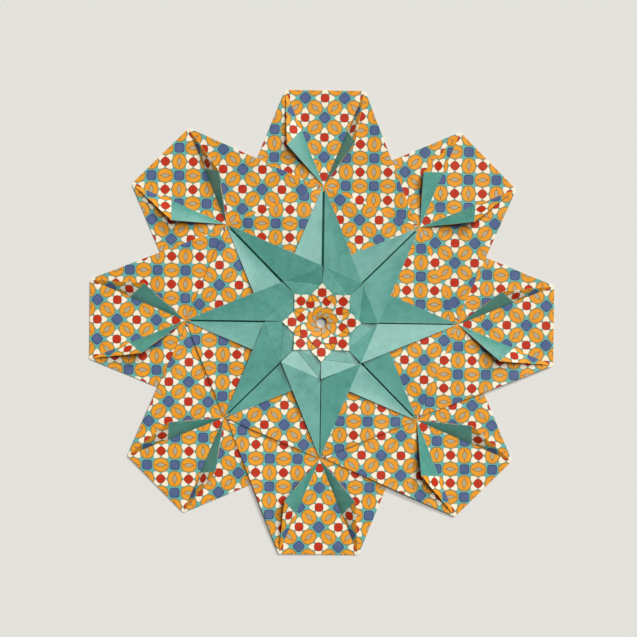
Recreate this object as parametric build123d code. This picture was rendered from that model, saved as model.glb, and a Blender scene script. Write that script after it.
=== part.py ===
from build123d import *
import os
from math import cos, radians, sin, sqrt, tan

# A flat paper mandala: eight folded sheets set in a ring, each overlapping the next clockwise.
# It lies face up on the XY plane, with its centre on the Z axis and its first arm along +Y.
# Every sheet keeps its true form as one solid: the arm, the wings turned under at the rim, the two
# standing flaps with their turned cuffs, the inner layer, the split star point, the twisted collar,
# the small corner that is folded out again beside the centre hole, and a blade of the swirl on it.

# Paper
sheet_side = 75.0
paper = 0.1
layer_gap = 0.1
fold_relief = 0.4         # a bend stops this short of the corners that it runs between

# Ring of sheets
unit_count = 8
ring_step = 0.44          # how far a wing stands above the next sheet at the octagon of star tips
pocket_gap = 1.2          # a wing's corner stops this short of the next star tip
seam_gap = 0.4            # opening between the corners that are folded together behind the arm

# Standing flaps: how steeply they stand up from the wings, sheet by sheet clockwise
left_flap_angles = (28.0, 31.0, 48.0, 39.0, 38.0, 50.0, 49.0, 33.0)
right_flap_angles = (58.0, 45.0, 36.0, 40.0, 42.0, 42.0, 34.0, 54.0)

# Inner layer
inner_level = 0.35        # above the base layer, at the crease of the right wing
inner_rise = 0.9          # how much higher it lies at the slit's end
slit_clear = 1.6          # it stops this short of the next sheet's slit
slit_lip = 0.5            # width of the folded lip on the slit's left side
slit_bridge = 2.0         # length of the lip's joint to the inner layer, beside the tip

# Star
star_tip_height = 1.15    # above the sheet's base layer
slit_end_height = 1.8
star_corner_height = 3.9
slit_width = 0.8
tip_setback = 0.6         # the split star point stops this short of the point where the flaps meet
tuck_depth = 1.6          # how far a star half runs on under its neighbour
tuck_gap = 0.4            # and how far below it

# Collar
collar_radius = 14.3      # where its creases reach the small star's points
collar_height = 2.2
pleat_height = 0.3        # of the inner facet's folded edge over the outer facet

# Centre
hole_radius = 2.2
rim_height = 0.8
rim_gap_angle = 6.0       # from the rim's ends to the lines between sheets
small_star_radius = 15.3
small_star_height = 3.6
small_star_lift = 0.6     # of the small star above the collar, at the rim
small_star_gap = 0.2      # between the small star's neighbouring corners
swirl_reach = 8.05        # from the centre to a blade's outer edge, which is square to the next arm
swirl_edge = 6.5          # length of that edge
swirl_lift = 0.3          # of the swirl's blade above the small star
swirl_step = 0.35         # how far a blade stands above the next one
rim_fold_inset = 0.3
rim_fold_start = 8.0      # angles of the accordion fold at the rim
rim_fold_end = 17.5

# Places that follow from the sheet and the fold angle, all in plan
fold_angle = 180.0 / unit_count
next_turn = 2 * fold_angle
layer_step = paper + layer_gap
cuff_lift = 1.5 * paper
star_radius = sheet_side / sqrt(2)
chord = 2 * star_radius * sin(radians(fold_angle))
slit_end_radius = star_radius * tan(radians(fold_angle))
flap_length = slit_end_radius
half_slit = slit_width / 2
split_radius = star_radius - tip_setback
lean = ring_step / (star_radius * sin(radians(next_turn)))


def polar(radius, angle):
    """A point at a radius from the centre, at an angle clockwise from the arm."""
    return (radius * sin(radians(angle)), radius * cos(radians(angle)))


def from_tip(length, angle):
    """A point at a length from the star tip, at an angle clockwise from the arm."""
    x, y = polar(length, angle)
    return (x, star_radius + y)


def between(first, second, share):
    """The point at a share of the way from the first point to the second."""
    return tuple(a + (b - a) * share for a, b in zip(first, second))


def shortened(start, end):
    """Both ends of a line, moved in by the relief that a bend leaves at a corner."""
    share = fold_relief / sqrt(sum((b - a) ** 2 for a, b in zip(start, end)))
    return between(start, end, share), between(end, start, share)


def mirrored(points):
    """The same points on the other side of the arm."""
    return [(-p[0], *p[1:]) for p in points]


tip = (0.0, star_radius)
corner = from_tip(chord, fold_angle)
wing = from_tip(chord - pocket_gap, 90 + fold_angle)
rest = lean * wing[0] + layer_step + paper / 2


def on_level(point, level):
    """A plan point on a layer of the sheet, which leans so that each wing clears the next sheet."""
    x, y = point
    return (x, y, rest + lean * x + level)


def at_height(point, height):
    """A plan point at a height over the sheet's base layer at the arm's axis."""
    x, y = point
    return (x, y, rest + height)


def raised(point, lift):
    """The same point, higher by a lift."""
    return (point[0], point[1], point[2] + lift)


def height_on(corners, point):
    """The height of the plane through three corners, over a plan point."""
    plane = Plane(make_face(Polyline(*corners, close=True)).face())
    x, y = point
    normal, origin = plane.z_dir, plane.origin
    return origin.Z - (normal.X * (x - origin.X) + normal.Y * (y - origin.Y)) / normal.Z


def plate(corners):
    """A layer of paper through the corners, with half its thickness above them and half below."""
    outline = make_face(Polyline(*corners, close=True))
    return extrude(outline, amount=paper / 2, dir=(0, 0, 1), both=True)


def slanted(corners, thickness):
    """Paper that stands at a slant or upright, with its thickness square to its own plane."""
    return extrude(make_face(Polyline(*corners, close=True)), amount=thickness / 2, both=True)


def turned_edge(start, end, low, high):
    """The bend of the paper along a crease, from a lower layer to an upper one."""
    start, end = shortened(start, end)
    corners = [on_level(start, low), on_level(end, low), on_level(end, high), on_level(start, high)]
    return slanted(corners, paper)


def base_layer():
    """The arm and its two wings, in one layer."""
    left_wing, left_corner = mirrored([wing, corner])
    outline = [left_wing, left_corner, corner, wing, tip]
    return plate([on_level(p, 0) for p in outline])


def corners_behind():
    """The outer corner and the two side corners of the sheet, turned under to meet behind the arm."""
    left_wing, left_corner = mirrored([wing, corner])
    meeting = (0.0, 2 * star_radius * cos(radians(next_turn)))
    folds = []
    for start, end in [(left_corner, corner), (corner, wing), (left_wing, left_corner)]:
        middle = between(start, end, 0.5)
        reach = sqrt((middle[0] - meeting[0]) ** 2 + (middle[1] - meeting[1]) ** 2)
        apex = between(meeting, middle, seam_gap / reach)
        turned = (*shortened(start, end), apex)
        folds.append(plate([on_level(p, -layer_step) for p in turned]))
        folds.append(turned_edge(start, end, -layer_step, 0))
    return folds


def flap(side, angle):
    """A flap standing up beside the arm, doubled, with the sheet's corner turned over it as a cuff."""
    foot = from_tip(flap_length * cos(radians(fold_angle)), fold_angle)
    width = flap_length * sin(radians(fold_angle))
    across = width * cos(radians(angle))
    edge = (foot[0] + across * cos(radians(fold_angle)), foot[1] - across * sin(radians(fold_angle)))
    cuff_foot = from_tip(flap_length / cos(radians(fold_angle)), fold_angle)
    plan = [*shortened(tip, corner), edge, cuff_foot]
    if side < 0:
        plan = mirrored(plan)
    hinge, far_hinge, free, cuff_end = [Vector(*on_level(p, paper / 2)) for p in plan]
    free += Vector(0, 0, width * sin(radians(angle)))
    normal = (free - hinge).cross(far_hinge - hinge).normalized()
    if normal.Z < 0:
        normal = -normal
    lift = normal * cuff_lift
    return [
        slanted([hinge, far_hinge, free], 2 * paper),
        slanted([hinge + lift, cuff_end + lift, free + lift], paper),
    ]


def on_inner(point):
    """A plan point on the inner layer, which rises evenly from the right wing's crease to the slit's end."""
    crease_radius = star_radius * cos(radians(fold_angle))
    x, y = polar(1.0, fold_angle)
    inward = crease_radius - (point[0] * x + point[1] * y)
    slit_end_inward = crease_radius - slit_end_radius * cos(radians(fold_angle))
    return on_level(point, inner_level + inner_rise * inward / slit_end_inward)


def inner_layer():
    """The layer under the star, open along the slit, and joined to the right wing by a crease."""
    lip = -half_slit - slit_lip
    bridge = star_radius - slit_bridge
    next_slit = polar(slit_end_radius, next_turn)
    turn = radians(next_turn)
    near_next = (next_slit[0] - slit_clear * cos(turn), next_slit[1] + slit_clear * sin(turn))
    right_of_slit = [near_next, (half_slit, slit_end_radius), (half_slit, bridge)]
    left_of_slit = [(-half_slit, bridge), (-half_slit, slit_end_radius), (lip, slit_end_radius)]
    outline = [(lip, star_radius), tip, wing, *right_of_slit, *left_of_slit]
    return [plate([on_inner(p) for p in outline]), turned_edge(tip, wing, 0, inner_level)]


def star_right_corners():
    """The right half of the star point: its tip, the slit's end, and the corner over the next slit."""
    return [
        at_height((half_slit, split_radius), star_tip_height),
        at_height((half_slit, slit_end_radius), slit_end_height),
        at_height(polar(slit_end_radius, next_turn), star_corner_height),
    ]


def star_left_corners():
    """The left half: it runs on under the right half of the sheet before."""
    above = [
        at_height(polar(split_radius, -next_turn), star_tip_height),
        at_height(polar(slit_end_radius, -next_turn), slit_end_height),
        at_height((0.0, slit_end_radius), star_corner_height),
    ]
    start = (-half_slit, split_radius)
    goal = polar(slit_end_radius, -next_turn)
    notch_share = cos(radians(next_turn))
    length = sqrt((goal[0] - start[0]) ** 2 + (goal[1] - start[1]) ** 2)
    tuck = between(start, goal, notch_share + tuck_depth / length)
    return [
        at_height(start, star_tip_height),
        at_height((-half_slit, slit_end_radius), slit_end_height),
        (*tuck, height_on(above, tuck) - tuck_gap),
    ]


def slit_wall(corners):
    """The folded edge along the slit, from the inner layer up to one half of the star point."""
    start, end = shortened(*corners[:2])
    under = [on_inner(p[:2]) for p in (end, start)]
    return slanted([start, end, *under], paper)


def star_point():
    """Both halves of the star point, with the folded edges of the slit between them."""
    right, left = star_right_corners(), star_left_corners()
    return [plate(right), plate(left), slit_wall(right), slit_wall(left)]


def collar():
    """The twisted collar: an outer facet that hangs from the star's inner edge, and over its crease an
    inner facet from the slit's end, which runs in under the small star to the hole's rim."""
    slit_end, star_corner = star_right_corners()[1:]
    outer = at_height(polar(collar_radius, next_turn), collar_height)
    start, high = raised(slit_end, pleat_height), raised(outer, pleat_height)
    low = at_height(polar(collar_radius, 0), collar_height - pleat_height)
    rim_start = at_height(polar(hole_radius, rim_gap_angle), rim_height)
    rim_end = at_height(polar(hole_radius, next_turn - rim_gap_angle), rim_height)
    crease_start, crease_end = shortened(slit_end, outer)
    fold = [crease_start, crease_end, raised(crease_end, pleat_height), raised(crease_start, pleat_height)]
    return [
        plate([slit_end, star_corner, outer]),
        slanted(fold, paper),
        plate([start, high, low]),
        plate([low, high, rim_start]),
        plate([high, rim_end, rim_start]),
    ]


def on_small_star(reach, lift):
    """The height of the small star's dish at a reach from the centre, with a lift over it."""
    low = rim_height + small_star_lift
    share = (reach - hole_radius) / (small_star_radius - hole_radius)
    return low + (small_star_height - low) * share + lift


def small_star_corner():
    """The sheet's inner corner, folded out from the hole's rim again as a point of the small star."""
    notch_radius = small_star_radius * cos(radians(next_turn)) / cos(radians(fold_angle))
    side_gap = small_star_gap / 2 / cos(radians(fold_angle))
    notch = polar(notch_radius, fold_angle)
    rim = polar(hole_radius, fold_angle)
    right = [(0.0, small_star_radius), (notch[0] - side_gap, notch[1]), (rim[0] - side_gap, rim[1])]
    outline = right + mirrored(right[:0:-1])
    return plate([at_height(p, on_small_star(p[1], 0)) for p in outline])


def swirl_blade():
    """The blade that is folded over the small star beside the hole, and stands above the next sheet's blade."""
    turn = radians(next_turn)
    edge_end = polar(swirl_reach, next_turn)
    edge_start = (edge_end[0] - swirl_edge * cos(turn), edge_end[1] + swirl_edge * sin(turn))
    low, high = swirl_lift, swirl_lift + swirl_step
    corners = []
    for point, lift in [
        (polar(hole_radius, 0), low),
        (polar(swirl_reach, 0), low),
        (edge_start, low),
        (edge_end, high),
        (polar(hole_radius, next_turn), high),
    ]:
        reach = sqrt(point[0] ** 2 + point[1] ** 2)
        corners.append(at_height(point, on_small_star(reach, lift)))
    hub = corners[0]
    return [plate([hub, first, second]) for first, second in zip(corners[1:], corners[2:])]


def rim_fold():
    """The accordion fold at the rim, from the collar up through the small star to the swirl's blade."""
    fold_radius = hole_radius + rim_fold_inset
    start, end = polar(fold_radius, rim_fold_start), polar(fold_radius, rim_fold_end)
    high = on_small_star(fold_radius, swirl_lift + swirl_step * rim_fold_start / next_turn)
    under = [at_height(start, rim_height), at_height(end, rim_height)]
    return slanted([*under, at_height(end, high), at_height(start, high)], paper)


def joined(pieces):
    """All pieces of a sheet as one solid."""
    sheet = pieces[0]
    for piece in pieces[1:]:
        sheet += piece
    return sheet


os.makedirs("parts", exist_ok=True)
layers = [base_layer(), *corners_behind(), *inner_layer(), *star_point(), *collar()]
body = joined([*layers, small_star_corner(), *swirl_blade(), rim_fold()])
for number in range(unit_count):
    left_angle = left_flap_angles[number % len(left_flap_angles)]
    right_angle = right_flap_angles[number % len(right_flap_angles)]
    unit = joined([body, *flap(-1, left_angle), *flap(1, right_angle)])
    petal = Rot(0, 0, -number * next_turn) * unit
    petal.label = f"petal_{number + 1}"
    export_step(petal, f"parts/{petal.label}.step")
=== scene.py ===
from math import cos, pi, radians, sin, sqrt, tan

import bpy
import numpy as np
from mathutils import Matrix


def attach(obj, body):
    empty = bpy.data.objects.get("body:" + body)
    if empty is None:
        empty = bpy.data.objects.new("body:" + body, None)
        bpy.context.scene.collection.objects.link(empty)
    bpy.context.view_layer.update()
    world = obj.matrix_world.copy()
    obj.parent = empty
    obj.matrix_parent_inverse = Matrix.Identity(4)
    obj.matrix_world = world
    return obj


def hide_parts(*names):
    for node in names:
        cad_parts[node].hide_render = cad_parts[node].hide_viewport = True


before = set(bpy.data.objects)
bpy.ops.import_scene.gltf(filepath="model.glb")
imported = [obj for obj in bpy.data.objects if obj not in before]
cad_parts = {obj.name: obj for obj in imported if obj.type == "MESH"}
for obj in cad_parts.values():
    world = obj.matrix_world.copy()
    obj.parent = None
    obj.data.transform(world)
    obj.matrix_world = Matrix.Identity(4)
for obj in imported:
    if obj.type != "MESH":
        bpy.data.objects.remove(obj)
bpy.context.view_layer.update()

# A flat paper mandala of eight folded sheets, printed on one side and plain green on the other.
# Each sheet is drawn with its arm along +Y, in millimetres, and then turned to its place in the ring.
# Sheets are counted clockwise from the arm at the top, from 0. Angles are in degrees.
mm = 0.001

# Paper
sheet_side = 75.0
paper = 0.1
layer_step = 0.2
fold_relief = 0.4
sharp_fold_angle = 25.0

# Ring of sheets
unit_count = 8
ring_step = 0.44
pocket_gap = 1.2
seam_gap = 0.4
rim_lift = 0.85
crease_lift = 1.0

# Standing flaps: how steeply they stand up from the wings, sheet by sheet
left_flap_angles = (28, 31, 48, 39, 38, 50, 49, 33)
right_flap_angles = (58, 45, 36, 40, 42, 42, 34, 54)
cuff_lift = 0.15
flap_bow = 0.25

# Inner layer
inner_level = 0.35
inner_rise = 0.9
slit_clear = 1.6
slit_lip = 0.5
slit_bridge = 2.0

# Star: each right half lies over the next sheet's left half, but the top sheet lies over both its
# neighbours. The halves' corners stand higher and the slits gape more on some sheets than on others.
top_sheet = 4
star_tip_height = 1.15
slit_end_height = 1.8
star_corner_heights = (3.4, 4.6, 4.2, 3.9, 4.4, 4.8, 4.2, 5.0)
slit_widths = (1.1, 0.8, 0.6, 0.8, 0.5, 0.8, 0.9, 1.1)
tip_setback = 0.6
tuck_depth = 1.6
tuck_gap = 0.4
star_bow = -0.12
valley_gap = 0.1
valley_height = 0.15

# Collar
collar_radius = 14.3
collar_height = 2.2
pleat_height = 0.3

# Centre
hole_radius = 2.2
rim_height = 0.8
rim_gap_angle = 6.0
small_star_radius = 15.3
small_star_height = 3.6
small_star_lift = 0.6
small_star_gap = 0.2
swirl_reach = 8.05
swirl_edge = 6.5
swirl_lift = 0.3
swirl_step = 0.35

# Places that follow from the sheet and the fold angle
fold_angle = 180.0 / unit_count
next_turn = 2 * fold_angle
star_radius = sheet_side / sqrt(2)
chord = 2 * star_radius * sin(radians(fold_angle))
slit_end_radius = star_radius * tan(radians(fold_angle))
flap_length = slit_end_radius
flap_width = flap_length * sin(radians(fold_angle))
split_radius = star_radius - tip_setback
lean = ring_step / (star_radius * sin(radians(next_turn)))

# Steps of the meshes: along the edge of a panel or of a narrow wall, along a bend and round it
panel_steps = 12
wall_steps = 4
bend_steps = 16
arc_steps = 8

# Print: each layer's turn, and where a red dot lies on it, across and along, in millimetres
print_period = 10.88
arm_print = (45.0, 7.6, 7.6)
left_flap_print = (45.0, 11.34, 7.43)
right_flap_print = (45.0, 7.43, 11.34)
right_wing_print = (0.0, 3.2, 4.5)
left_wing_print = (0.0, -3.2, 4.5)
inner_print = (45.0, 0.27, 2.13)
small_star_print = (45.0, 8.2, 8.2)
swirl_print = (0.0, 1.8, 8.3)

# Shapes of the print, in periods. A power rounds a shape's corners, a slope turns its own measure into
# about a distance, and a strength is how much of its ink is laid on.
edge_softness = 0.012
dot_reach = 0.175
dot_power = 1.6
dot_outline = 0.02
petal_middle = 0.19
petal_half_length = 0.17
petal_half_width = 0.118
petal_outline = 0.012
square_reach = 0.176
square_power = 4.0
square_outline = 0.028
round_half_width = 0.262
round_half_length = 0.292
round_slope = 0.26
round_outline = 0.022
border_half_width = 0.082
border_half_length = 0.18
border_slope = 0.05
border_strength = 0.7
lens_half_width = 0.056
lens_half_length = 0.14
lens_slope = 0.045
stroke_half_width = 0.012
stroke_half_length = 0.235
stroke_softness = 0.008
stroke_strength = 0.8

# Colours of the print, as display values from 0 to 255, two where a tint runs from one to the other
turquoise = ((88, 162, 152), (116, 186, 174))
orange = ((228, 140, 22), (243, 172, 50))
red = ((174, 32, 8), (202, 58, 20))
blue = ((62, 84, 126), (100, 111, 150))
cream = (248, 238, 212)
lens_grey = (172, 172, 150)
petal_line = (150, 150, 112)
round_line = (140, 96, 36)
border_brown = (140, 88, 28)
stroke_brown = (110, 76, 32)
square_line = (44, 64, 106)
dot_line = (142, 20, 8)

# Colours of the plain side, with a paler green that is painted along its folded edges as a highlight, of the
# cut edge and of the floor
plain_green = ((40, 124, 110), (72, 150, 136))
pulp_green = (108, 180, 166)
crease_highlight_green = (140, 196, 180)
paper_core = ((196, 202, 186), (226, 226, 210))
floor_pale = (226, 224, 218)

# Noises over the paper: scale per metre, detail and roughness
tint_noise = (260.0, 3.0, 0.55)
cloud_noise = (90.0, 3.0, 0.6)
pulp_noise = (380.0, 4.0, 0.65)
# The next noise breaks into patches the highlight that is painted along the creases
crease_highlight_noise = (700.0, 2.0, 0.55)
core_noise = (900.0, 3.0, 0.55)
fibre_noise = (1600.0, 4.0, 0.65)
cockle_noise = (120.0, 2.0, 0.5)
mottle_floor = 0.3
mottle_gain = 2.5

# Surfaces of the paper: roughness, specular level and strength of the grain
printed_surface = (0.46, 0.16, 0.2)
plain_surface = (0.36, 0.75, 0.25)
cut_surface = (0.7, 0.3, 0.2)
grain_depth = 0.4
fibre_relief = 0.35
fibre_gloss = 0.06
pulp_strength = 0.35
# Width in millimetres, softness and strength of the highlight painted along the plain side's folded edges
crease_highlight_width = 0.2
crease_highlight_softness = 0.12
crease_highlight_strength = 0.3

# Floor, surround and camera
floor_reach = 3000.0
floor_roughness = 0.8
surround_strength = 0.09
frame_width = 249.2
sensor_width = 36.0
camera_place = (-1.29, 1.52, 600.0)
camera_turn = 0.85

# Finishes of the paper's faces, in the order of the mesh's material slots
printed, plain, cut = 0, 1, 2


def polar(radius, angle):
    """A plan point at a radius from the centre, at an angle clockwise from the arm."""
    return np.array([sin(radians(angle)), cos(radians(angle))]) * radius


def from_tip(length, angle):
    """A plan point at a length from the star tip, at an angle clockwise from the arm."""
    return polar(length, angle) + np.array([0.0, star_radius])


def mirrored(point):
    """The same plan point on the other side of the arm."""
    return np.asarray(point) * np.array([-1.0, 1.0])


# Plan points that the layers share, and the height of the base layer at the arm's axis
tip = np.array([0.0, star_radius])
corner = from_tip(chord, fold_angle)
wing = from_tip(chord - pocket_gap, 90 + fold_angle)
base_height = lean * wing[0] + layer_step + paper / 2


def on_level(point, level):
    """A plan point on a layer of the sheet, which leans so that each wing clears the next sheet."""
    return np.array([point[0], point[1], base_height + lean * point[0] + level])


def at_height(point, height):
    """A plan point at a height over the sheet's base layer at the arm's axis."""
    return np.array([point[0], point[1], base_height + height])


def height_over(corners, point):
    """The height over a plan point of the plane through three corners, from the plane's normal."""
    normal = np.cross(corners[1] - corners[0], corners[2] - corners[0])
    return corners[0][2] - normal[:2] @ (np.asarray(point) - corners[0][:2]) / normal[2]


def shortened(start, end):
    """Both ends of a line, moved in by the relief that a bend leaves at a corner."""
    along = (end - start) / np.linalg.norm(end - start)
    return start + along * fold_relief, end - along * fold_relief


def print_place(point, layout):
    """Where a plan point of flat paper lies on the print, in periods: turned, then shifted to a dot."""
    turn, across, along = layout
    x, y = point[0], point[1]
    turned_x = x * cos(radians(turn)) + y * sin(radians(turn))
    turned_y = y * cos(radians(turn)) - x * sin(radians(turn))
    return np.array([turned_x - across, turned_y - along]) / print_period


class FoldedSheet:
    """The panels and bends of one sheet, gathered as arrays and joined in one mesh."""

    def __init__(self, number):
        """A sheet by its number. Its right star half lies over the next sheet, unless that is the top one,
        and its left half lies over the sheet before it only on the top one."""
        self.number = number
        self.half_slit = slit_widths[number] / 2
        self.over_next = number != top_sheet - 1
        self.over_last = number == top_sheet
        self.points = []
        self.places = []
        self.margins = []
        self.faces = []
        self.finishes = []
        self.count = 0

    def add(self, points, places, margins, groups):
        """Adds points with their places on the print and their distances from the panel's three edges, and
        groups of faces with a finish each."""
        for faces, finish in groups:
            self.faces += (faces + self.count).tolist()
            self.finishes += [finish] * len(faces)
        self.points.append(points)
        self.places.append(places)
        self.margins.append(margins)
        self.count += len(points)

    def panel(self, corners, layout, upper, lower, rim=None, bow=0.0, bow_share=1.0, lift=0.0, flat=None,
              steps=panel_steps, thickness=paper):
        """A three-cornered panel: points at barycentric weights a, b and c of the corners, bowed by 27abc,
        which is 1 at the middle and nil on every edge, with a thickness and a rim. Where the panel lies on
        a larger one, its second corner at a share of the larger one's edge, the weights are those in the
        larger one. The edge from the first corner to the second may stand up by a lift, 4ab, which is 1 at
        its middle. The corners before folding, where they differ in plan, give the place on the print."""
        corners = np.array(corners, float)
        places = np.array([print_place(p, layout) for p in (corners if flat is None else flat)])
        spread = np.array([[1, 0, 0], [1 - bow_share, bow_share, 0], [0, 0, 1]])
        rim = rim or (upper, upper, upper)
        normal = np.cross(corners[1] - corners[0], corners[2] - corners[0])
        if normal[2] < 0:
            order = [0, 2, 1]
            corners, places, spread, rim = corners[order], places[order], spread[order], rim[::-1]
            normal = -normal
        area = np.linalg.norm(normal)
        normal /= area
        i, j = np.meshgrid(np.arange(steps + 1), np.arange(steps + 1), indexing="ij")
        inside = i + j <= steps
        index = np.cumsum(inside.ravel()).reshape(inside.shape) - 1
        weights = np.stack([steps - i - j, i, j], -1)[inside] / steps
        shares = weights @ spread
        raised = 27 * bow * shares.prod(1) + 4 * lift * shares[:, 0] * shares[:, 1]
        middle = weights @ corners + normal * raised[:, None]
        top, bottom = middle + normal * thickness / 2, middle - normal * thickness / 2
        opposite = np.linalg.norm(corners[[2, 0, 1]] - corners[[1, 2, 0]], axis=1)
        margin = weights * area / opposite
        i, j = i[:-1, :-1], j[:-1, :-1]
        up, down = i + j < steps, i + j < steps - 1
        first = np.stack([index[i, j], index[i + 1, j], index[i, j + 1]], -1)[up]
        second = np.stack([index[i + 1, j], index[i + 1, j + 1], index[i, j + 1]], -1)[down]
        faces = np.concatenate([first, second])
        run = np.arange(steps)
        size = len(middle)
        loop = np.concatenate([index[run, 0], index[steps - run, run], index[0, steps - run]])
        after = np.roll(loop, -1)
        walls = np.split(np.stack([loop, loop + size, after + size, after], -1), 3)
        groups = [(faces, upper), (faces[:, ::-1] + size, lower), *zip(walls, rim)]
        place = weights @ places
        points, places = np.concatenate([top, bottom]), np.concatenate([place, place])
        self.add(points, places, np.concatenate([margin, margin]), groups)

    def strip(self, middle, normal, places):
        """A bent strip of paper, print outwards: a grid of points with normals, given the paper's thickness
        and closed by a rim."""
        rows, columns = middle.shape[:2]
        index = np.arange(rows * columns).reshape(rows, columns)
        corners = [index[:-1, :-1], index[1:, :-1], index[1:, 1:], index[:-1, 1:]]
        faces = np.stack(corners, -1).reshape(-1, 4)
        loop = np.concatenate([index[:-1, 0], index[-1, :-1], index[:0:-1, -1], index[0, :0:-1]])
        after = np.roll(loop, -1)
        size = rows * columns
        rim = np.stack([loop, loop + size, after + size, after], -1)
        points = np.concatenate([middle + normal * paper / 2, middle - normal * paper / 2])
        place = places.reshape(-1, 2)
        groups = [(faces, printed), (faces[:, ::-1] + size, plain), (rim, printed)]
        self.add(points.reshape(-1, 3), np.concatenate([place, place]), np.zeros((2 * size, 3)), groups)

    def bend(self, start, end, low, high, layout, low_lift=0.0, high_lift=0.0):
        """The half round turn of the paper along a crease, from a lower layer up to a higher one: a half
        circle about the crease's line midway between the layers, carried along the crease, print outwards.
        At a share s of the crease each layer may stand up by a lift, 4s(1 - s), and the half circle is then
        stretched upwards."""
        start, end = shortened(start, end)
        along = (end - start) / np.linalg.norm(end - start)
        outward = np.array([along[1], -along[0], 0.0])
        radius = (high - low) / 2
        arc = np.linspace(-pi / 2, pi / 2, arc_steps + 1)
        share, angle = np.meshgrid(np.linspace(0, 1, bend_steps + 1), arc, indexing="ij")
        arch = 4 * share * (1 - share)
        low, high = low + low_lift * arch, high + high_lift * arch
        line = start + share[..., None] * (end - start)
        level = (low + high) / 2 + np.sin(angle) * (high - low) / 2
        height = base_height + lean * line[..., 0] + level
        plan = line + radius * np.cos(angle)[..., None] * outward[:2]
        normal = np.cos(angle)[..., None] * outward + np.sin(angle)[..., None] * np.array([0, 0, 1.0])
        reach = line + radius * (pi / 2 - angle)[..., None] * outward[:2]
        places = np.stack(np.broadcast_arrays(*print_place(np.moveaxis(reach, -1, 0), layout)), -1)
        self.strip(np.concatenate([plan, height[..., None]], -1), normal, places)

    def mesh(self, name):
        """The sheet as one mesh, turned clockwise to its place in the ring, with each point's place on the
        print and its margins, and each face's finish."""
        points = np.concatenate(self.points)
        angle = radians(self.number * next_turn)
        x = points[:, 0] * cos(angle) + points[:, 1] * sin(angle)
        y = points[:, 1] * cos(angle) - points[:, 0] * sin(angle)
        mesh = bpy.data.meshes.new(name)
        mesh.from_pydata(np.stack([x, y, points[:, 2]], -1) * mm, [], self.faces)
        corner_points = np.empty(len(mesh.loops), np.int32)
        mesh.loops.foreach_get("vertex_index", corner_points)
        layer = mesh.uv_layers.new(name="print")
        places = np.concatenate(self.places)[corner_points]
        layer.uv.foreach_set("vector", places.astype(np.float32).ravel())
        margin = mesh.attributes.new("margin", "FLOAT_VECTOR", "POINT")
        margin.data.foreach_set("vector", np.concatenate(self.margins).astype(np.float32).ravel())
        mesh.polygons.foreach_set("material_index", np.array(self.finishes, np.int32))
        mesh.shade_smooth()
        mesh.set_sharp_from_angle(angle=radians(sharp_fold_angle))
        mesh.update()
        return mesh


def arm_and_wings(sheet):
    """The arm between its two flaps and the wing on each side of it, all in one layer, print up. The right
    wing's rim stands a little off the next sheet."""
    left_corner, left_wing = mirrored(corner), mirrored(wing)
    for plan, layout, lift in [
        ([left_corner, corner, tip], arm_print, 0.0),
        ([corner, wing, tip], right_wing_print, rim_lift),
        ([left_wing, left_corner, tip], left_wing_print, 0.0),
    ]:
        sheet.panel([on_level(p, 0) for p in plan], layout, printed, plain, lift=lift)


def corners_behind(sheet):
    """The outer corner and the two side corners, turned under along the rim to meet behind the arm."""
    left_corner, left_wing = mirrored(corner), mirrored(wing)
    meeting = np.array([0.0, 2 * star_radius * cos(radians(next_turn))])
    for start, end, layout, lift in [
        (left_corner, corner, arm_print, 0.0),
        (corner, wing, right_wing_print, rim_lift),
        (left_wing, left_corner, left_wing_print, 0.0),
    ]:
        middle = (start + end) / 2
        apex = meeting + seam_gap * (middle - meeting) / np.linalg.norm(middle - meeting)
        turned = [on_level(p, -layer_step) for p in (*shortened(start, end), apex)]
        sheet.panel(turned, layout, plain, printed, rim=(printed, cut, cut), lift=lift)
        sheet.bend(end, start, -layer_step, 0, layout, low_lift=lift, high_lift=lift)


def flap(sheet, side, angle, layout):
    """A flap that stands up at an angle along the arm's edge, on the right for side 1 and on the left for
    side -1, doubled, with the sheet's corner turned over it as a cuff."""
    hinge, far = shortened(tip, corner)
    foot = from_tip(flap_length * cos(radians(fold_angle)), fold_angle)
    outward = polar(flap_width, 90 + fold_angle)
    cuff_foot = from_tip(flap_length / cos(radians(fold_angle)), fold_angle)
    plan = [hinge, far, foot + outward * cos(radians(angle)), cuff_foot, foot + outward]
    if side < 0:
        plan = [mirrored(p) for p in plan]
    flat_edge = plan[4]
    hinge, far, free, cuff_end = [on_level(p, paper / 2) for p in plan[:4]]
    free[2] += flap_width * sin(radians(angle))
    normal = np.cross(far - hinge, free - hinge)
    normal *= np.sign(normal[2]) / np.linalg.norm(normal)
    flat = [hinge, far, flat_edge]
    sheet.panel([hinge, far, free], layout, printed, printed, bow=flap_bow, flat=flat, thickness=2 * paper)
    share = np.linalg.norm(cuff_end - hinge) / np.linalg.norm(far - hinge)
    cuff = [p + normal * cuff_lift for p in (hinge, cuff_end, free)]
    flat = [hinge, cuff_end, flat_edge]
    rim = (plain, cut, plain)
    sheet.panel(cuff, layout, plain, printed, rim=rim, bow=flap_bow, bow_share=share, flat=flat)


def on_inner(point):
    """A plan point on the inner layer, which rises evenly from the wing's crease to the slit's end."""
    crease_radius = star_radius * cos(radians(fold_angle))
    inward = crease_radius - np.asarray(point) @ polar(1.0, fold_angle)
    slit_end_inward = crease_radius - slit_end_radius * cos(radians(fold_angle))
    return on_level(point, inner_level + inner_rise * inward / slit_end_inward)


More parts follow.
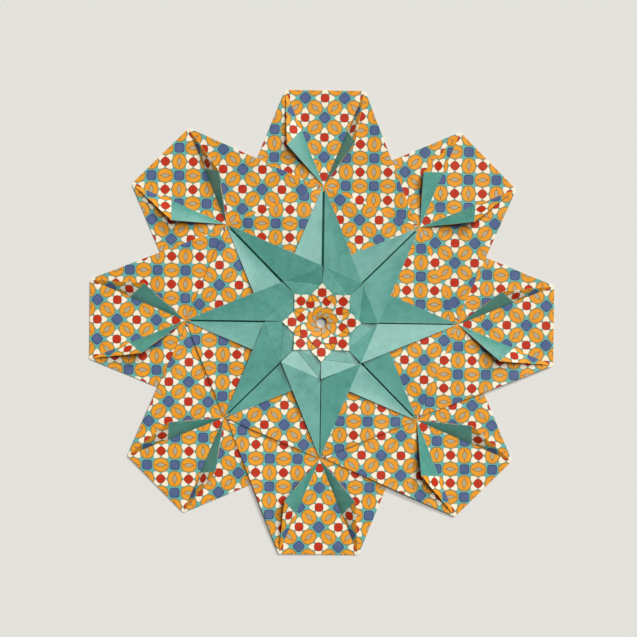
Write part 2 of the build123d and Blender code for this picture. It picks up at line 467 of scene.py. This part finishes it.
def inner_layer(sheet):
    """The printed layer that shows between the star's points: it is joined to the right wing by a crease
    and open along the slit, with a narrow lip on the slit's left side that joins it near the tip."""
    half = sheet.half_slit
    near_next = polar(slit_end_radius, next_turn) + polar(slit_clear, next_turn - 90)
    beside = np.array([half, slit_end_radius])
    bridge = np.array([half, star_radius - slit_bridge])
    lip = -half - slit_lip
    lip_top, lip_end = np.array([lip, star_radius]), np.array([lip, slit_end_radius])
    edge_top, edge_end = mirrored(bridge), mirrored(beside)
    beside_crease = [on_inner(p) for p in (tip, wing, near_next)]
    sheet.panel(beside_crease, inner_print, printed, plain, lift=crease_lift)
    for plan in (
        [tip, near_next, bridge],
        [bridge, near_next, beside],
        [tip, bridge, edge_top],
        [tip, edge_top, lip_top],
        [lip_top, edge_top, edge_end],
        [lip_top, edge_end, lip_end],
    ):
        sheet.panel([on_inner(p) for p in plan], inner_print, printed, plain)
    sheet.bend(wing, tip, 0, inner_level, inner_print, high_lift=crease_lift)


def star_over(sheet):
    """Corners of a right star half that lies over the next sheet: its tip, the slit's end, and the corner
    over the next slit's end."""
    return [
        at_height((sheet.half_slit, split_radius), star_tip_height),
        at_height((sheet.half_slit, slit_end_radius), slit_end_height),
        at_height(polar(slit_end_radius, next_turn), star_corner_heights[sheet.number]),
    ]


def star_under(sheet, corner_height):
    """Corners of a right star half that runs on under the left half of the next sheet, whose own corner
    stands at a height: the third one is tucked in a little way, a gap below that left half."""
    above = [
        at_height(polar(split_radius, next_turn), star_tip_height),
        at_height(polar(slit_end_radius, next_turn), slit_end_height),
        at_height((0.0, slit_end_radius), corner_height),
    ]
    start = np.array([sheet.half_slit, split_radius])
    goal = polar(slit_end_radius, next_turn)
    share = cos(radians(next_turn)) + tuck_depth / np.linalg.norm(goal - start)
    tuck = start + (goal - start) * share
    return [
        at_height(start, star_tip_height),
        at_height((sheet.half_slit, slit_end_radius), slit_end_height),
        np.array([*tuck, height_over(above, tuck) - tuck_gap]),
    ]


def star_half(sheet, side):
    """Corners of the right half of a star point, for side 1, or of the left half, for side -1, which is a
    right half mirrored."""
    over = sheet.over_next if side > 0 else sheet.over_last
    neighbour_height = star_corner_heights[(sheet.number + side) % unit_count]
    corners = star_over(sheet) if over else star_under(sheet, neighbour_height)
    return [p * np.array([side, 1, 1]) for p in corners]


def star_point(sheet):
    """Both halves of the star point, plain side up, and the folded edges that go down into the slit, where
    they nearly meet in a narrow valley just above the floor, which runs on under the collar."""
    for side in (1, -1):
        corners = star_half(sheet, side)
        sheet.panel(corners, inner_print, plain, printed, bow=star_bow)
        start, end = corners[:2]
        valley = [split_radius, collar_radius]
        under_start, under_end = [np.array([side * valley_gap / 2, y, valley_height]) for y in valley]
        for wall in ([start, end, under_end], [start, under_end, under_start]):
            sheet.panel(wall, inner_print, plain, plain, steps=wall_steps)


def collar(sheet):
    """The twisted collar: an outer facet that hangs from the star's inner edge, and over its crease an
    inner facet from the slit's end, which runs in under the small star to the hole's rim."""
    slit_end, star_corner = star_over(sheet)[1:]
    outer = at_height(polar(collar_radius, next_turn), collar_height)
    pleat = np.array([0, 0, pleat_height])
    start, high = slit_end + pleat, outer + pleat
    low = at_height(polar(collar_radius, 0), collar_height) - pleat
    rim_start = at_height(polar(hole_radius, rim_gap_angle), rim_height)
    rim_end = at_height(polar(hole_radius, next_turn - rim_gap_angle), rim_height)
    for facet in (
        [slit_end, star_corner, outer],
        [start, high, low],
        [low, high, rim_start],
        [high, rim_end, rim_start],
    ):
        sheet.panel(facet, inner_print, plain, printed)
    for wall in ([slit_end, outer, high], [slit_end, high, start]):
        sheet.panel(wall, inner_print, plain, plain, steps=wall_steps)


def on_small_star(point, reach, lift=0.0):
    """A plan point at the height that the small star's dish has at a reach from the centre, with a lift."""
    low = rim_height + small_star_lift
    share = (reach - hole_radius) / (small_star_radius - hole_radius)
    return at_height(point, low + (small_star_height - low) * share + lift)


def small_star_corner(sheet):
    """The sheet's inner corner, folded out again from the hole's rim as a point of the small star."""
    notch_radius = small_star_radius * cos(radians(next_turn)) / cos(radians(fold_angle))
    aside = np.array([small_star_gap / 2 / cos(radians(fold_angle)), 0])
    point = np.array([0.0, small_star_radius])
    notch = polar(notch_radius, fold_angle) - aside
    rim = polar(hole_radius, fold_angle) - aside
    middle = np.array([0.0, rim[1]])
    raw_edge = (cut, printed, printed)
    for plan, edges in [([point, notch, middle], raw_edge), ([middle, notch, rim], None)]:
        for half in (plan, [mirrored(p) for p in plan]):
            corners = [on_small_star(p, p[1]) for p in half]
            sheet.panel(corners, small_star_print, printed, plain, rim=edges)


def swirl_blade(sheet):
    """The blade that is folded over the small star beside the hole and stands above the next sheet's blade:
    its outer edge is square to the next arm."""
    edge_end = polar(swirl_reach, next_turn)
    edge_start = edge_end + polar(swirl_edge, next_turn - 90)
    outline = [
        (polar(hole_radius, 0), 0),
        (polar(swirl_reach, 0), 0),
        (edge_start, 0),
        (edge_end, swirl_step),
        (polar(hole_radius, next_turn), swirl_step),
    ]
    corners = [on_small_star(p, np.linalg.norm(p), swirl_lift + lift) for p, lift in outline]
    for first, second in zip(corners[1:], corners[2:]):
        sheet.panel([corners[0], first, second], swirl_print, printed, plain)


class Wire:
    """One output of a shader node. Arithmetic with it adds Math nodes to the same material."""

    def __init__(self, tree, output=None):
        self.tree = tree
        self.output = output

    def node(self, kind, settings=None, sockets=None, output=0):
        """Adds a node of a kind: its settings first, then the values or links of its sockets."""
        made = self.tree.nodes.new(kind)
        for name, value in (settings or {}).items():
            setattr(made, name, value)
        for name, value in (sockets or {}).items():
            if isinstance(value, Wire):
                self.tree.links.new(value.output, made.inputs[name])
            else:
                made.inputs[name].default_value = value
        return Wire(self.tree, made.outputs[output] if len(made.outputs) else None)

    def math(self, operation, *values):
        """A Math node on the values given."""
        return self.node("ShaderNodeMath", {"operation": operation}, dict(enumerate(values)))

    def parts(self):
        """The X, Y and Z of a vector."""
        split = self.node("ShaderNodeSeparateXYZ", {}, {0: self})
        return [Wire(self.tree, output) for output in split.output.node.outputs]

    def __add__(self, other):
        return self.math("ADD", self, other)

    def __sub__(self, other):
        return self.math("SUBTRACT", self, other)

    def __mul__(self, other):
        return self.math("MULTIPLY", self, other)

    def __truediv__(self, other):
        return self.math("DIVIDE", self, other)

    def __pow__(self, other):
        return self.math("POWER", self, other)

    def __rsub__(self, other):
        return self.math("SUBTRACT", other, self)

    __radd__ = __add__
    __rmul__ = __mul__


def colour(display):
    """A display colour as the linear colour that a shader takes, by the standard curve of displays."""
    share = np.array(display) / 255
    linear = np.where(share <= 0.04045, share / 12.92, ((share + 0.055) / 1.055) ** 2.4)
    return (*linear.tolist(), 1.0)


def new_material(name):
    """An empty node material and a wire on its tree."""
    material = bpy.data.materials.new(name)
    material.use_nodes = True
    material.node_tree.nodes.clear()
    return material, Wire(material.node_tree)


def object_place(graph):
    """Object coordinates, in metres."""
    return graph.node("ShaderNodeTexCoord", output="Object")


def blended(graph, factor, first, second):
    """A colour between two colours, by a factor."""
    return graph.node("ShaderNodeMix", {"data_type": "RGBA"}, {0: factor, 6: first, 7: second}, output=2)


def tinted(graph, factor, pair):
    """A colour between the two display colours of a pair, by a factor."""
    return blended(graph, factor, colour(pair[0]), colour(pair[1]))


def within(graph, distance, softness=edge_softness):
    """1 where a distance is under nil and 0 where it is over, with a soft edge."""
    sockets = {0: distance, 1: -softness, 2: softness, 3: 1.0, 4: 0.0}
    return graph.node("ShaderNodeMapRange", {"interpolation_type": "SMOOTHSTEP"}, sockets)


def noise(graph, place, kind):
    """Smooth noise from 0 to 1 over a place, of a kind that gives its scale, detail and roughness."""
    scale, detail, roughness = kind
    sockets = {"Vector": place, "Scale": scale, "Detail": detail, "Roughness": roughness}
    return graph.node("ShaderNodeTexNoise", {}, sockets)


def mottle(graph, place, kind):
    """Noise of a kind with its usual range stretched to about 0 to 1."""
    return (noise(graph, place, kind) - mottle_floor) * mottle_gain


def painted_crease_highlight(graph, place):
    """1 along the folded edges, in broken patches, where a paler green is painted as a highlight of the
    creases. The nearest edge is the least of the three margins, in millimetres."""
    margin = graph.node("ShaderNodeAttribute", {"attribute_name": "margin"}, output="Vector")
    first, second, third = margin.parts()
    nearest = graph.math("MINIMUM", graph.math("MINIMUM", first, second), third)
    ragged = noise(graph, place, crease_highlight_noise)
    return within(graph, nearest - ragged * crease_highlight_width, crease_highlight_softness)


def paper_shader(graph, base, place, surface):
    """The paper's own surface: a satin sheet with a fine fibre grain and a faint cockle in its bump."""
    roughness, specular, grain = surface
    fibre = noise(graph, place, fibre_noise)
    height = fibre * fibre_relief + noise(graph, place, cockle_noise)
    sockets = {"Strength": grain, "Distance": grain_depth * mm, "Height": height}
    bump = graph.node("ShaderNodeBump", {}, sockets)
    gloss = roughness + fibre * fibre_gloss
    sockets = {"Base Color": base, "Roughness": gloss, "Specular IOR Level": specular, "Normal": bump}
    shader = graph.node("ShaderNodeBsdfPrincipled", {}, sockets)
    graph.node("ShaderNodeOutputMaterial", {}, {"Surface": shader})


def rounded_reach(x, y, power):
    """How far out a place is: x and y to a power, added, to one over the power. A power of 2 makes circles,
    a higher one rounded squares and a lower one rounded diamonds."""
    return (x ** power + y ** power) ** (1 / power)


def round_shapes(graph, near, far):
    """Distances from an orange round, which is an ellipse, and from the border of the lens in it, the lens
    itself and a stroke along it. A lens's half width falls off with the square of the place along it."""
    ellipse = graph.math("SQRT", (far / round_half_width) ** 2.0 + (near / round_half_length) ** 2.0)
    border = far / border_half_width + (near / border_half_length) ** 2.0
    lens = far / lens_half_width + (near / lens_half_length) ** 2.0
    stroke = graph.math("MAXIMUM", far - stroke_half_width, near - stroke_half_length)
    return (ellipse - 1.0) * round_slope, (border - 1.0) * border_slope, (lens - 1.0) * lens_slope, stroke


def printed_paper():
    """The printed side: red dots with four cream petals on a square lattice, blue squares at the cells'
    middles, and orange rounds with a grey lens midway between the dots, on turquoise. Each shape is the
    sign of a distance in lattice periods, which the UV map gives, and later shapes lie over earlier ones."""
    material, graph = new_material("printed_paper")
    place = object_place(graph)
    across, along, _ = graph.node("ShaderNodeUVMap", {"uv_map": "print"}).parts()
    x, y = [graph.math("ABSOLUTE", graph.math("FRACT", p + 0.5) - 0.5) for p in (across, along)]
    far_x, far_y = 0.5 - x, 0.5 - y

    dot = rounded_reach(x, y, dot_power) - dot_reach
    square = rounded_reach(far_x, far_y, square_power) - square_reach
    petal_share = ((x + y) / sqrt(2) - petal_middle) / petal_half_length
    petal_across = graph.math("ABSOLUTE", x - y) / sqrt(2)
    petal = petal_across - (1.0 - petal_share * petal_share) * petal_half_width
    pairs = zip(round_shapes(graph, y, far_x), round_shapes(graph, x, far_y))
    ellipse, border, lens, stroke = [graph.math("MINIMUM", side, top) for side, top in pairs]

    tint = noise(graph, place, tint_noise)
    base = tinted(graph, tint, turquoise)
    for mask, ink in [
        (within(graph, petal - petal_outline), colour(petal_line)),
        (within(graph, petal), colour(cream)),
        (within(graph, ellipse), colour(round_line)),
        (within(graph, ellipse + round_outline), tinted(graph, tint, orange)),
        (within(graph, border) * border_strength, colour(border_brown)),
        (within(graph, stroke, stroke_softness) * stroke_strength, colour(stroke_brown)),
        (within(graph, lens), colour(lens_grey)),
        (within(graph, square), colour(square_line)),
        (within(graph, square + square_outline), tinted(graph, tint, blue)),
        (within(graph, dot), colour(dot_line)),
        (within(graph, dot + dot_outline), tinted(graph, tint, red)),
    ]:
        base = blended(graph, mask, base, ink)
    paper_shader(graph, base, place, printed_surface)
    return material


def plain_paper():
    """The plain green side: soft clouds and a fine pulp mottle, with a highlight painted paler along the
    folds.
    """
    material, graph = new_material("plain_paper")
    place = object_place(graph)
    pulp = mottle(graph, place, pulp_noise) * pulp_strength
    # A paler green painted along the folded edges as a highlight of the creases
    painted_highlight = painted_crease_highlight(graph, place) * crease_highlight_strength
    base = tinted(graph, mottle(graph, place, cloud_noise), plain_green)
    base = blended(graph, pulp, base, colour(pulp_green))
    base = blended(graph, painted_highlight, base, colour(crease_highlight_green))
    paper_shader(graph, base, place, plain_surface)
    return material


def cut_paper():
    """The paper's cut edge, where its white core shows."""
    material, graph = new_material("cut_paper")
    place = object_place(graph)
    base = tinted(graph, noise(graph, place, core_noise), paper_core)
    paper_shader(graph, base, place, cut_surface)
    return material


def make_sheets():
    """All sheets of the ring, clockwise from the arm at the top, each in place of its CAD solid."""
    materials = [printed_paper(), plain_paper(), cut_paper()]
    for number in range(unit_count):
        sheet = FoldedSheet(number)
        arm_and_wings(sheet)
        corners_behind(sheet)
        flap(sheet, -1, left_flap_angles[number], left_flap_print)
        flap(sheet, 1, right_flap_angles[number], right_flap_print)
        inner_layer(sheet)
        star_point(sheet)
        collar(sheet)
        small_star_corner(sheet)
        swirl_blade(sheet)
        name = f"folded_sheet_{number + 1}"
        piece = bpy.data.objects.new(name, sheet.mesh(name))
        for material in materials:
            piece.data.materials.append(material)
        bpy.context.collection.objects.link(piece)
        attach(piece, "root")
        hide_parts(f"petal_{number + 1}")


def make_floor():
    """A plain pale floor under the mandala."""
    corners = np.array([[-1, -1, 0], [1, -1, 0], [1, 1, 0], [-1, 1, 0]]) * floor_reach * mm
    mesh = bpy.data.meshes.new("floor")
    mesh.from_pydata(corners.tolist(), [], [[0, 1, 2, 3]])
    floor = bpy.data.objects.new("floor", mesh)
    material, graph = new_material("pale_floor")
    sockets = {"Base Color": colour(floor_pale), "Roughness": floor_roughness}
    shader = graph.node("ShaderNodeBsdfPrincipled", {}, sockets)
    graph.node("ShaderNodeOutputMaterial", {}, {"Surface": shader})
    mesh.materials.append(material)
    bpy.context.collection.objects.link(floor)


def make_lamp(name, level, compass, elevation, spread):
    """A far soft lamp, as wide in the sky as its spread. On a flat white sheet it gives a level of
    brightness, which is its strength over pi times the sine of its elevation."""
    lamp = bpy.data.lights.new(name, "SUN")
    lamp.angle = radians(spread)
    lamp.energy = level * pi / sin(radians(elevation))
    holder = bpy.data.objects.new(name, lamp)
    flat = cos(radians(elevation))
    holder.location = (flat * cos(radians(compass)), flat * sin(radians(compass)), sin(radians(elevation)))
    holder.rotation_mode = "QUATERNION"
    holder.rotation_quaternion = holder.location.to_track_quat("Z", "Y")
    bpy.context.collection.objects.link(holder)


def make_light():
    """A high window light and a lower side light from the upper right, and an even surround, which is seen
    in the floor's colour, also in reflections and through what is clear."""
    make_lamp("window", level=0.56, compass=48, elevation=67, spread=24)
    make_lamp("side", level=0.34, compass=54, elevation=40, spread=10)
    world = bpy.data.worlds.new("surround")
    world.use_nodes = True
    world.node_tree.nodes.clear()
    graph = Wire(world.node_tree)
    white = (1.0, 1.0, 1.0, 1.0)
    lit = graph.node("ShaderNodeBackground", {}, {"Color": white, "Strength": surround_strength})
    seen = graph.node("ShaderNodeBackground", {}, {"Color": colour(floor_pale), "Strength": 1.0})
    rays = ("Is Camera Ray", "Is Glossy Ray", "Is Transmission Ray")
    camera, glossy, transmission = [graph.node("ShaderNodeLightPath", output=ray) for ray in rays]
    surround = graph.node("ShaderNodeMixShader", {}, {0: camera + glossy + transmission, 1: lit, 2: seen})
    graph.node("ShaderNodeOutputWorld", {}, {"Surface": surround})
    bpy.context.scene.world = world


def make_camera():
    """A camera straight above, a little off the middle and a little turned, as the photograph was taken.
    At the floor's height its picture is as wide as the frame."""
    lens = bpy.data.cameras.new("camera")
    lens.sensor_width = sensor_width
    lens.lens = sensor_width * camera_place[2] / frame_width
    camera = bpy.data.objects.new("camera", lens)
    camera.location = np.array(camera_place) * mm
    camera.rotation_euler = (0.0, 0.0, radians(camera_turn))
    bpy.context.collection.objects.link(camera)
    bpy.context.scene.camera = camera


make_sheets()
make_floor()
make_light()
make_camera()
bpy.context.scene.view_settings.view_transform = "Standard"
